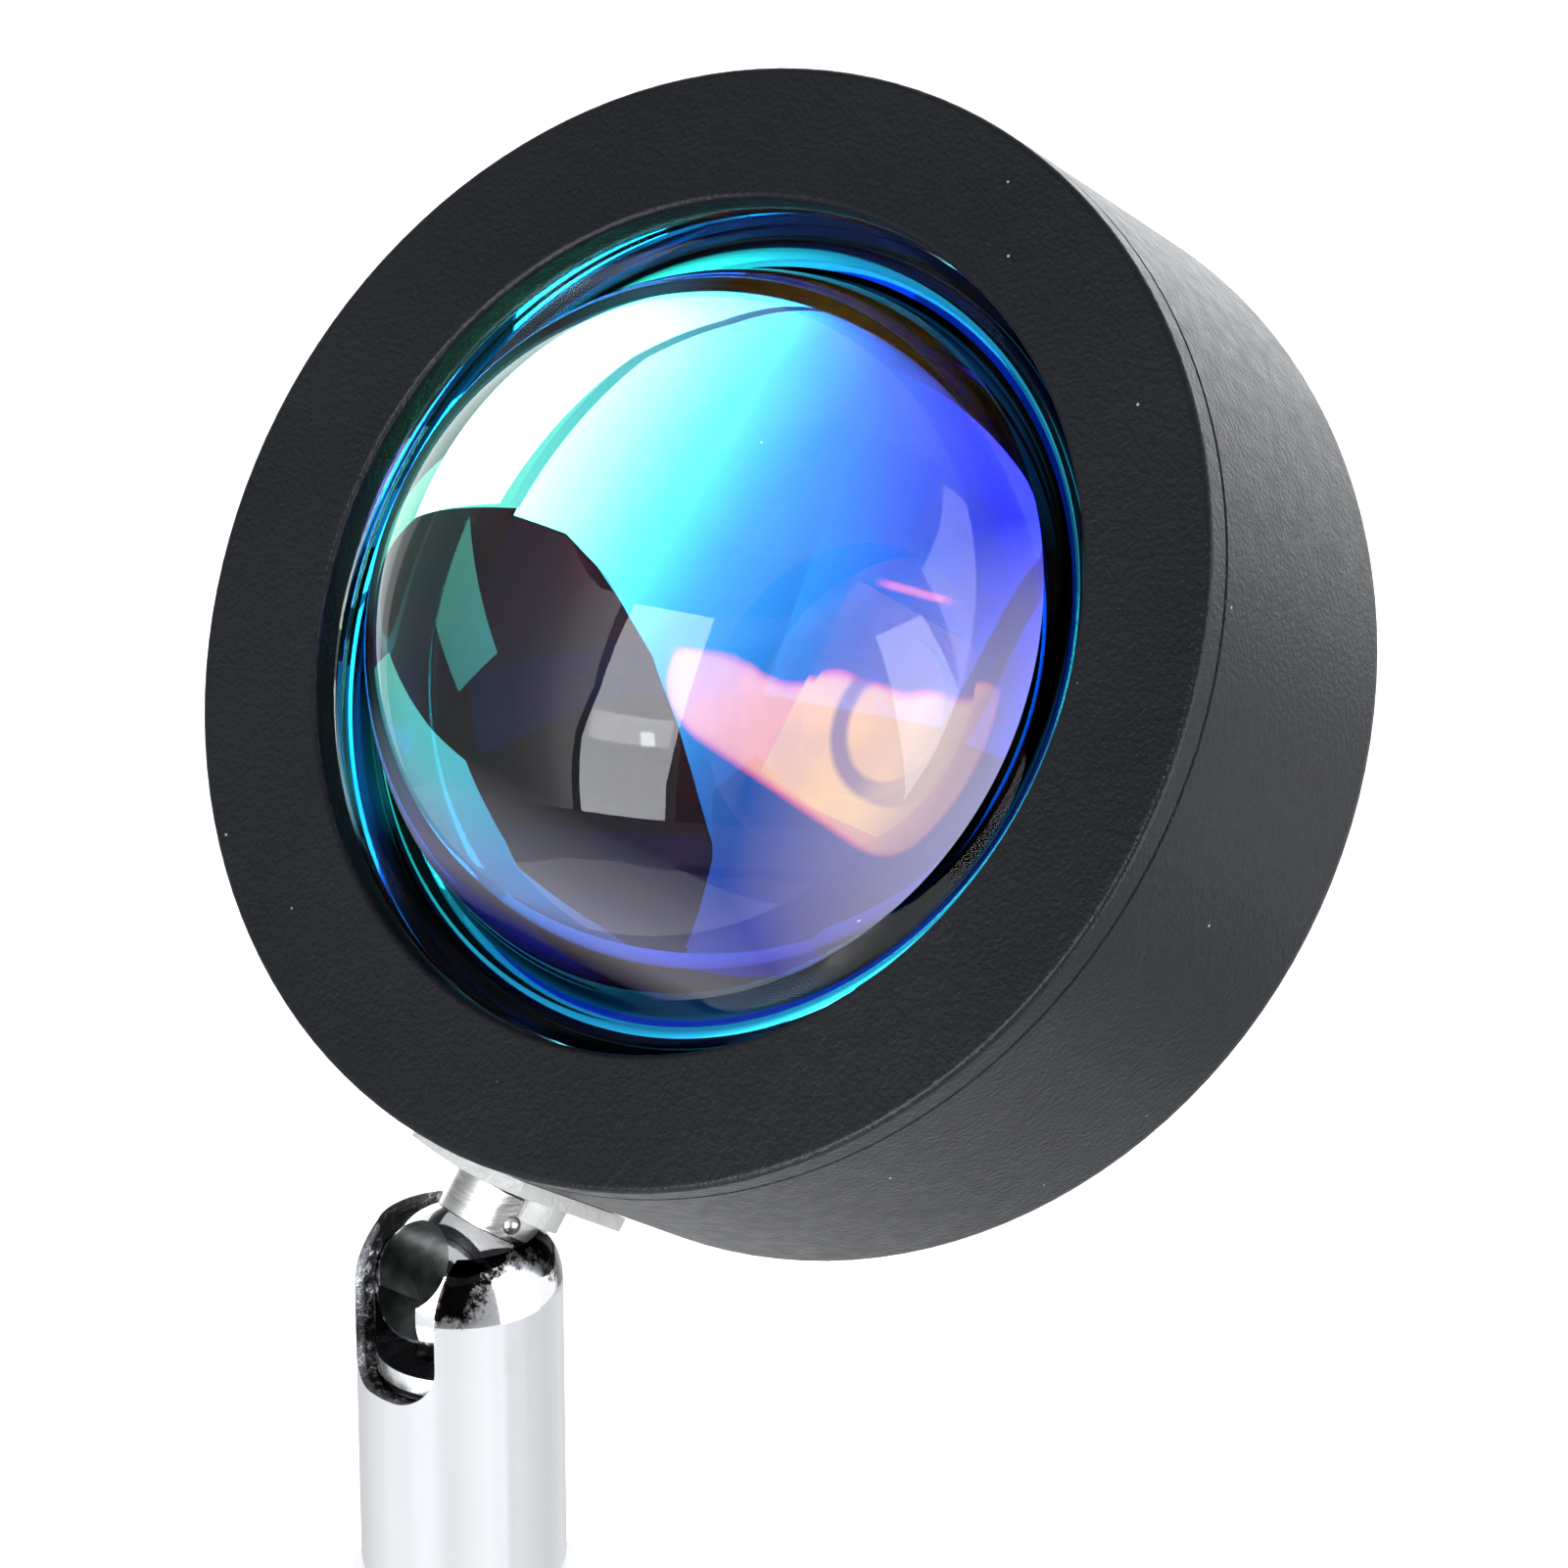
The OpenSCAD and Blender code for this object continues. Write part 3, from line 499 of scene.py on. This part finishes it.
# what it throws back and lets through add up to this; past the steep angle less comes through
FILM_SUM = 0.97
FILM_STEEP = 42
FILM_STEEP_SHARE = 0.4
# the part of the facing scale that the film's angles take up
FILM_SPAN = 0.32


def with_painted_haze(tree, coord, shader):
    """A shader with the pale veil, a painted reflection glowing as emission, over it."""
    side = scale_range(tree, along_head(tree, coord, PAINTED_HAZE_TO), *PAINTED_HAZE_SIDE)
    down = along_head(tree, coord, -HEAD_Y)
    low = product(tree, scale_range(tree, down, *PAINTED_HAZE_LOW), scale_range(tree, down, *PAINTED_HAZE_LOW_END))
    haze_glow = add(tree, "ShaderNodeEmission", Color=PAINTED_HAZE_COLOUR)
    return mix_shader(tree, math_node(tree, "MAXIMUM", side, low), shader, haze_glow.outputs[0])


def lens_glass(name, tint, painted_tint_left, skin_ior, painted_haze_on=False):
    """Glass with a thin anti-glare skin outside and a few specks of dust."""
    m, t = new_material(name)
    out = add(t, "ShaderNodeOutputMaterial")
    co = add(t, "ShaderNodeTexCoord").outputs["Object"]
    smear = noise(t, co, 160, detail=3.0)
    skin = add(t, "ShaderNodeFresnel", IOR=skin_ior)
    gloss = add(t, "ShaderNodeBsdfGlossy", Roughness=0.0)
    t.links.new(noise_tone(t, smear, (0.97, 0.97, 1.0), (1.0, 1.0, 1.0)), gloss.inputs["Color"])
    through = add(t, "ShaderNodeBsdfRefraction", IOR=GLASS_IOR, Roughness=0.0)
    # the tint and its shift to the left paint the film's reflected colours into the glass
    left = scale_range(t, along_head(t, co, -HEAD_X), *PAINTED_SHIFT_LEFT_SIDE, 0.0, 1.0)
    t.links.new(ramp(t, left, ((0.0, tint), (1.0, painted_tint_left))), through.inputs["Color"])
    outside = mix_shader(t, skin.outputs[0], through.outputs[0], gloss.outputs[0])
    inside = add(t, "ShaderNodeBsdfGlass", IOR=GLASS_IOR, Roughness=0.0)
    backfacing = add(t, "ShaderNodeNewGeometry").outputs["Backfacing"]
    glass = mix_shader(t, backfacing, outside, inside.outputs[0])
    dust = add(t, "ShaderNodeBsdfDiffuse")
    dust_stops = ((0.0, (0.5, 0.52, 0.55)), (1.0, (0.8, 0.82, 0.85)))
    t.links.new(ramp(t, smear, dust_stops), dust.inputs["Color"])
    spot = product(t, specks(t, co, 420, size=0.045, share=0.12), 0.35)
    dusty = mix_shader(t, spot, glass, dust.outputs[0])
    # where asked, the pale veil of painted reflection glows over the glass
    t.links.new(with_painted_haze(t, co, dusty) if painted_haze_on else dusty, out.inputs["Surface"])
    return m


def filter_coat():
    """Thin colour-shifting film: what it throws back turns from green to violet with the angle."""
    m, t = new_material("filter_coat")
    out = add(t, "ShaderNodeOutputMaterial")
    facing = add(t, "ShaderNodeLayerWeight", Blend=0.5).outputs["Facing"]
    wide = scale_range(t, facing, 0.0, FILM_SPAN, 0.0, 1.0)
    back = []
    ahead = []
    for angle, colour in FILM:
        at = (1 - math.cos(math.radians(angle))) / FILM_SPAN
        share = FILM_STEEP_SHARE if angle > FILM_STEEP else 1.0
        back.append((at, colour))
        ahead.append((at, tuple(max(0.0, FILM_SUM - c) * share for c in colour)))
    gloss = add(t, "ShaderNodeBsdfGlossy", Roughness=0.0)
    clear = add(t, "ShaderNodeBsdfTransparent")
    t.links.new(ramp(t, wide, back), gloss.inputs["Color"])
    t.links.new(ramp(t, wide, ahead), clear.inputs["Color"])
    both = feed(t, add(t, "ShaderNodeAddShader"), gloss.outputs[0], clear.outputs[0])
    t.links.new(both.outputs[0], out.inputs["Surface"])
    return m


def filter_glass():
    """The filter's own glass behind the film: clear with a warm tint."""
    m, t = new_material("filter_glass")
    out = add(t, "ShaderNodeOutputMaterial")
    co = add(t, "ShaderNodeTexCoord").outputs["Object"]
    cloud = noise(t, co, 150)
    clear = add(t, "ShaderNodeBsdfTransparent")
    t.links.new(noise_tone(t, cloud, (1.0, 0.95, 0.9), (1.0, 0.98, 0.95)), clear.inputs["Color"])
    t.links.new(clear.outputs[0], out.inputs["Surface"])
    return m


# ---------------------------------------------------------------- materials by slot
BLACK = (0.03, 0.03, 0.03)
DARKER = (0.02, 0.02, 0.02)
MATERIALS = {
    "black_coat": black_coat(),
    "chrome": chrome(),
    "dark_chrome": ball_chrome(),
    "lens_glass": lens_glass("lens_glass", CLEAR, CLEAR_LEFT_PAINTED, DOME_SKIN_IOR, painted_haze_on=True),
    "filter_glass": filter_glass(),
    "soft_rubber": surface("soft_rubber", BLACK, (0.022, 0.022, 0.022), 0.6, grain=1200),
    "heat_silicone": surface("heat_silicone", (0.55, 0.6, 0.7), (0.5, 0.55, 0.65), 0.6, grain=1200),
    "foam_pad": surface("foam_pad", BLACK, DARKER, 0.85, grain=2400, depth=0.1 * MM),
    "black_metal": surface("black_metal", BLACK, DARKER, 0.35, grain=1200),
    "ring_plastic": washer_with_painted_rim(),
    # near-black colours for the cup, the board and the phosphor: painted shade of the dark inside,
    # the mirror cup painted black for the darkness it mirrors
    "mirror_coat": painted_light_board("mirror_coat", (0.006, 0.006, 0.007), (0.95, 0.50, 0.36)),
    "white_board": painted_light_board("white_board", (0.02, 0.02, 0.02), (0.95, 0.52, 0.36)),
    "phosphor": painted_light_board("phosphor", (0.05, 0.04, 0.01), (0.95, 0.72, 0.5)),
    "white_plastic": surface("white_plastic", (0.8, 0.8, 0.76), (0.75, 0.75, 0.7), 0.4, grain=1200),
    "black_plastic": surface("black_plastic", BLACK, DARKER, 0.4, grain=1200),
    "bare_aluminium": surface(
        "bare_aluminium", (0.75, 0.76, 0.78), (0.68, 0.69, 0.7), 0.32, metal=1.0, grain=700
    ),
    "raw_casting": surface(
        "raw_casting", (0.25, 0.245, 0.24), (0.17, 0.165, 0.16), 0.55,
        metal=0.3, grain=1300, depth=0.1 * MM, spread=0.12,
    ),
    "steel": surface("steel", (0.6, 0.6, 0.6), (0.52, 0.52, 0.52), 0.3, metal=1.0, grain=700),
    "brass": surface("brass", (0.75, 0.58, 0.28), (0.66, 0.5, 0.22), 0.28, metal=1.0, grain=700),
    "iron": surface(
        "iron", (0.28, 0.28, 0.29), (0.2, 0.2, 0.2), 0.55, metal=1.0, grain=600, depth=0.08 * MM
    ),
}
slot_of = {row["node"]: row["material_slot"] for row in frame["record"]["subparts"]}
for node, obj in frame["nodes"].items():
    obj.data.materials.clear()
    obj.data.materials.append(MATERIALS[slot_of[node]])
frame["nodes"]["socket_tube"].data.materials[0] = tube_chrome()
frame["nodes"]["neck_stem"].data.materials[0] = neck_satin()

# ---------------------------------------------------------------- lens, in the head's millimetres
DOME_R = 19.96
DOME_Z = -6.21
FLANGE_TOP = -1.95
FLANGE_LOW = -4.15
FLANGE_R = 23.75
EDGE_BEVEL = 0.15
# the moulded trough between the dome's foot and the window's edge
TROUGH_IN = 19.55
TROUGH_OUT = 22.65
TROUGH_DEPTH = 0.75
TROUGH_SOFT = 0.45
DOME_STEPS = 96
TROUGH_STEPS = 60
ROUND_STEPS = 256
# a profile point nearer to the axis than this is on it
ON_AXIS = 1e-6
# an edge that bends more than this stays sharp
SHARP_FROM = math.radians(30)


def lens_profile():
    """Points (radius, height) from the top of the dome round the rim to the middle of the back."""
    points = []
    foot_z = DOME_Z + math.sqrt(DOME_R ** 2 - TROUGH_IN ** 2)
    lean = math.atan2(TROUGH_IN, foot_z - DOME_Z)
    for k in range(DOME_STEPS + 1):
        a = lean * k / DOME_STEPS
        points.append((DOME_R * math.sin(a), DOME_Z + DOME_R * math.cos(a)))
    deep = math.sqrt(1 + TROUGH_SOFT ** 2) - TROUGH_SOFT
    for k in range(1, TROUGH_STEPS + 1):
        s = k / TROUGH_STEPS
        rim_z = foot_z + (FLANGE_TOP - foot_z) * s
        rise = (math.sqrt((2 * s - 1) ** 2 + TROUGH_SOFT ** 2) - TROUGH_SOFT) / deep
        points.append((TROUGH_IN + (TROUGH_OUT - TROUGH_IN) * s, rim_z - TROUGH_DEPTH * (1 - rise)))
    points.append((FLANGE_R - EDGE_BEVEL, FLANGE_TOP))
    points.append((FLANGE_R, FLANGE_TOP - EDGE_BEVEL))
    points.append((FLANGE_R, FLANGE_LOW + EDGE_BEVEL))
    points.append((FLANGE_R - EDGE_BEVEL, FLANGE_LOW))
    points.append((0, FLANGE_LOW))
    return points


def revolve(name, profile, steps, material_of, materials):
    """Turns a profile of (radius, height) points round the head's axis; both ends may be on it."""
    verts = []
    rings = []
    for r, z in profile:
        if r < ON_AXIS:
            rings.append([len(verts)])
            verts.append((0, 0, z * MM))
            continue
        rings.append(list(range(len(verts), len(verts) + steps)))
        for k in range(steps):
            a = 2 * math.pi * k / steps
            verts.append((r * math.cos(a) * MM, r * math.sin(a) * MM, z * MM))
    faces = []
    kinds = []
    for i in range(len(rings) - 1):
        a, b = rings[i], rings[i + 1]
        for k in range(steps):
            n = (k + 1) % steps
            if len(a) == 1:
                faces.append((a[0], b[k], b[n]))
            elif len(b) == 1:
                faces.append((a[k], b[0], a[n]))
            else:
                faces.append((a[k], b[k], b[n], a[n]))
            kinds.append(material_of(i))
    mesh = bpy.data.meshes.new(name)
    mesh.from_pydata(verts, [], faces)
    for m in materials:
        mesh.materials.append(m)
    mesh.polygons.foreach_set("material_index", kinds)
    mesh.transform(HEAD)
    mesh.shade_smooth()
    obj = bpy.data.objects.new(name, mesh)
    scene.collection.objects.link(obj)
    return obj


profile = lens_profile()
LENS_MATERIALS = [
    MATERIALS["lens_glass"],
    filter_coat(),
    lens_glass("ledge_glass_painted_tint", PAINTED_LEDGE_TINT, PAINTED_LEDGE_TINT_LEFT, LEDGE_SKIN_IOR),
]


def lens_part(i):
    """0 for the dome and the rim, 1 for the flat back with the film, 2 for the trough."""
    if i == len(profile) - 2:
        return 1
    return 2 if DOME_STEPS <= i < DOME_STEPS + TROUGH_STEPS else 0


lens = revolve("clear_lens", profile, ROUND_STEPS, lens_part, LENS_MATERIALS)
lens.data.set_sharp_from_angle(angle=SHARP_FROM)
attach(lens, "head")
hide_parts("lens")

# ---------------------------------------------------------------- studio
world = bpy.data.worlds.new("studio")
scene.world = world
world.use_nodes = True
world.node_tree.nodes["Background"].inputs["Color"].default_value = (0.98, 0.99, 1, 1)
world.node_tree.nodes["Background"].inputs["Strength"].default_value = 1.1
# a card with more strength than this counts as a lamp when the light is gathered
LAMP_FROM = 6
# how finely a card is divided between two of its points, along it and across it
CARD_COLS = 6
CARD_ROWS = 6


def toward(az, el):
    """Unit vector at an azimuth (0 is the front, 90 the right) and a height, in degrees."""
    a, e = math.radians(az), math.radians(el)
    return Vector((math.sin(a) * math.cos(e), -math.cos(a) * math.cos(e), math.sin(e)))


def card_material(name, tint, sampling):
    """Plain light, as strong as the mesh's own attribute glow says."""
    m, t = new_material(name)
    m.cycles.emission_sampling = sampling
    out = add(t, "ShaderNodeOutputMaterial")
    e = add(t, "ShaderNodeEmission", Color=(*tint, 1))
    glow = add(t, "ShaderNodeAttribute", attribute_name="glow")
    t.links.new(glow.outputs["Fac"], e.inputs["Strength"])
    t.links.new(e.outputs[0], out.inputs["Surface"])
    return m


CARD_DIM = card_material("card_dim", (0.96, 0.98, 1.0), "NONE")
CARD_LIGHT = card_material("card_light", (0.93, 0.97, 1.0), "FRONT_BACK")


def grid_faces(cols, rows):
    """Faces between points that are listed column after column."""
    faces = []
    for c in range(cols - 1):
        for j in range(rows - 1):
            p = c * rows + j
            faces.append((p, p + rows, p + rows + 1, p + 1))
    return faces


def stage_mesh(name, points, faces, glow, material):
    mesh = bpy.data.meshes.new(name)
    mesh.from_pydata([tuple(p) for p in points], [], faces)
    mesh.attributes.new("glow", "FLOAT", "POINT").data.foreach_set("value", glow)
    mesh.materials.append(material)
    obj = bpy.data.objects.new(name, mesh)
    scene.collection.objects.link(obj)
    obj.visible_camera = False
    return obj


def band(name, low, high, strengths, far):
    """A card on a sphere round the head, between two edges given as (azimuth, height) points.

    There is one strength for each pair of points. The sphere's radius is far, in metres, and a
    nearer card hides a farther one.
    """
    pairs = []
    for i in range(len(low) - 1):
        for k in range(CARD_COLS):
            pairs.append((i, k / CARD_COLS))
    pairs.append((len(low) - 2, 1.0))
    points = []
    glow = []
    for i, s in pairs:
        a = toward(*low[i]).lerp(toward(*low[i + 1]), s)
        b = toward(*high[i]).lerp(toward(*high[i + 1]), s)
        g = strengths[i] + (strengths[i + 1] - strengths[i]) * s
        for j in range(CARD_ROWS + 1):
            points.append(HEAD_O + a.lerp(b, j / CARD_ROWS).normalized() * far)
            glow.append(g)
    faces = grid_faces(len(pairs), CARD_ROWS + 1)
    material = CARD_LIGHT if max(strengths) > LAMP_FROM else CARD_DIM
    return stage_mesh(name, points, faces, glow, material)


def level(el, *azimuths):
    """An edge at one height."""
    return [(az, el) for az in azimuths]


SOFTBOX = 21.0
LAMP_HEAD = 60.0
LAMP_GLARE = 32.0
# overhead: the black ceiling, the bright roof over it, and the dim upper part of the left wall
band(
    "dark_ceiling",
    ((-105, 62), (-74, 54), (-59, 47), (-49, 43), (-39, 37), (-30, 35),
     (-17, 30), (-8, 30), (23, 30), (48, 30), (78, 34)),
    ((-105, 70), (-85, 73), (-70, 75), (-50, 76), (-33, 76), (-24, 72),
     (-15, 68), (-6, 62), (11, 60), (35, 49), (78, 38)),
    (0.015,) * 11,
    far=2.9,
)
band(
    "roof_light",
    ((-105, 62), (-60, 66), (-15, 60), (35, 44), (90, 34), (140, 40)),
    level(89, -105, -60, -15, 35, 90, 140),
    (0.3, 0.7, 0.68, 0.62, 0.6, 0.6),
    far=3.1,
)
band(
    "upper_wall_dim",
    ((-105, 44), (-87, 37), (-72, 37), (-53, 38)),
    ((-105, 62), (-87, 58), (-74, 54), (-53, 44)),
    (0.5, 0.42, 0.40, 0.5),
    far=2.62,
)
# the front softbox and its frame, the left wall, and the dim gap up to the right softbox
band(
    "front_softbox",
    ((-18, -35), (-13, -9), (-8, 5), (-3, 30)),
    ((8, -43), (12, -20), (17, 0), (25, 30)),
    (SOFTBOX,) * 4,
    far=2.5,
)
band(
    "softbox_frame",
    ((-21.5, -37), (-15.2, -9), (-10.2, 5), (-7.4, 30)),
    ((-18, -35), (-13, -9), (-8, 5), (-5.2, 30)),
    (0.5, 0.5, 0.7, 1.0),
    far=2.4,
)
band(
    "left_wall",
    level(-60, -13, -20, -28, -38, -47, -55, -65, -100),
    ((-7, 31), (-17, 31), (-25, 33), (-35, 37), (-43, 41), (-49, 44), (-62, 49), (-100, 62)),
    (6.5, 4.5, 2.3, 1.25, 1.0, 0.72, 0.48, 0.4),
    far=2.7,
)
band(
    "front_gap",
    ((10, -48), (40, -50), (90, -50)),
    ((20, 20), (45, 22), (76, 24)),
    (0.18, 0.3, 0.5),
    far=2.8,
)
band(
    "right_softbox",
    ((88, -50), (84, -24), (80, -6), (77, 20)),
    ((112, -50), (109, -22), (99, 3), (94, 21)),
    (5, 13, 16, 16),
    far=2.5,
)
# the lamp in the front softbox, and the table below it
band("lamp_hot_spot", ((5, -9), (5, -5)), ((9, -9), (9, -5)), (LAMP_HEAD,) * 2, far=2.3)
band("lamp_hot_band", ((-11, -9), (-9.5, -1)), ((13, -9), (15, -1)), (LAMP_GLARE,) * 2, far=2.35)
band(
    "table_front",
    ((-60, -45), (-21, -42), (13, -48), (67, -61), (96, -75)),
    level(-89, -60, -21, 13, 67, 96),
    (3,) * 5,
    far=2.2,
)
# the right, the left and the back of the room, its floor, and the brighter kite in the ceiling
band(
    "right_wall",
    ((101, -30), (118, -30), (134, -24)),
    ((101, 31), (118, 36), (134, 40)),
    (9, 8, 6),
    far=2.75,
)
band(
    "left_far_wall",
    level(-40, -150, -128, -106),
    level(20, -150, -128, -106),
    (3.0, 3.0, 1.8),
    far=2.75,
)
band("back_light", level(-9, 140, 180, 215), level(14, 140, 180, 215), (3.2, 3.3, 3.2), far=2.75)
band(
    "floor_glow",
    level(-84, 105, 150, 195, 240, 285),
    level(-48, 105, 150, 195, 240, 285),
    (1.25,) * 5,
    far=2.75,
)
band("floor_right", level(-46, 140, 175, 210), level(-36, 140, 175, 210), (1.5, 1.3, 1.0), far=2.72)
band("roof_kite", ((-13, 46), (-4, 53)), ((3, 32), (6, 46)), (0.28, 0.22), far=2.6)

# what the tube mirrors at the height that it looks down to: azimuth and brightness
TUBE_SEES = (
    (-180, 0.82), (-150, 0.70), (-120, 0.68), (-97, 0.74), (-75, 0.86), (-60, 0.92), (-50, 0.98),
    (-12, 0.98), (8, 0.96), (20, 0.92), (35, 0.94), (48, 1.02), (66, 1.08), (84, 1.0), (92, 0.76),
    (101, 0.78), (147, 0.73), (165, 0.76), (180, 0.82),
)
TUBE_RING_R = 0.15
TUBE_RING_Z = (0.070, 0.135)
TUBE_RING_STEPS = 180


def tube_ring():
    """A low ring of light round the tube and the pole."""
    azimuths = [az for az, _ in TUBE_SEES]
    levels = [g for _, g in TUBE_SEES]
    points = []
    glow = []
    for k in range(TUBE_RING_STEPS + 1):
        az = -180 + 360 * k / TUBE_RING_STEPS
        d = toward(az, 0) * TUBE_RING_R
        for z in TUBE_RING_Z:
            points.append((d.x, d.y, z))
            glow.append(float(np.interp(az, azimuths, levels)))
    faces = grid_faces(TUBE_RING_STEPS + 1, len(TUBE_RING_Z))
    ring = stage_mesh("tube_ring", points, faces, glow, CARD_DIM)
    ring.visible_diffuse = False
    ring.visible_shadow = False


tube_ring()

FLOOR_HALF = 4
FLOOR_GLOW = 0.4


def floor():
    """A plain pale floor that the lamp doesn't mirror."""
    m, t = new_material("floor")
    b = principled(t, Roughness=0.7)
    b.inputs["Emission Color"].default_value = (1, 1, 1, 1)
    b.inputs["Emission Strength"].default_value = FLOOR_GLOW
    cloud = noise(t, add(t, "ShaderNodeTexCoord").outputs["Object"], 3)
    tone = noise_tone(t, cloud, (0.84, 0.84, 0.84), (0.88, 0.88, 0.88))
    t.links.new(tone, b.inputs["Base Color"])
    mesh = bpy.data.meshes.new("floor")
    h = FLOOR_HALF
    mesh.from_pydata([(-h, -h, 0), (h, -h, 0), (h, h, 0), (-h, h, 0)], [], [(0, 1, 2, 3)])
    mesh.materials.append(m)
    obj = bpy.data.objects.new("floor", mesh)
    scene.collection.objects.link(obj)
    obj.visible_glossy = False
    obj.visible_transmission = False
    obj.visible_shadow = False


floor()
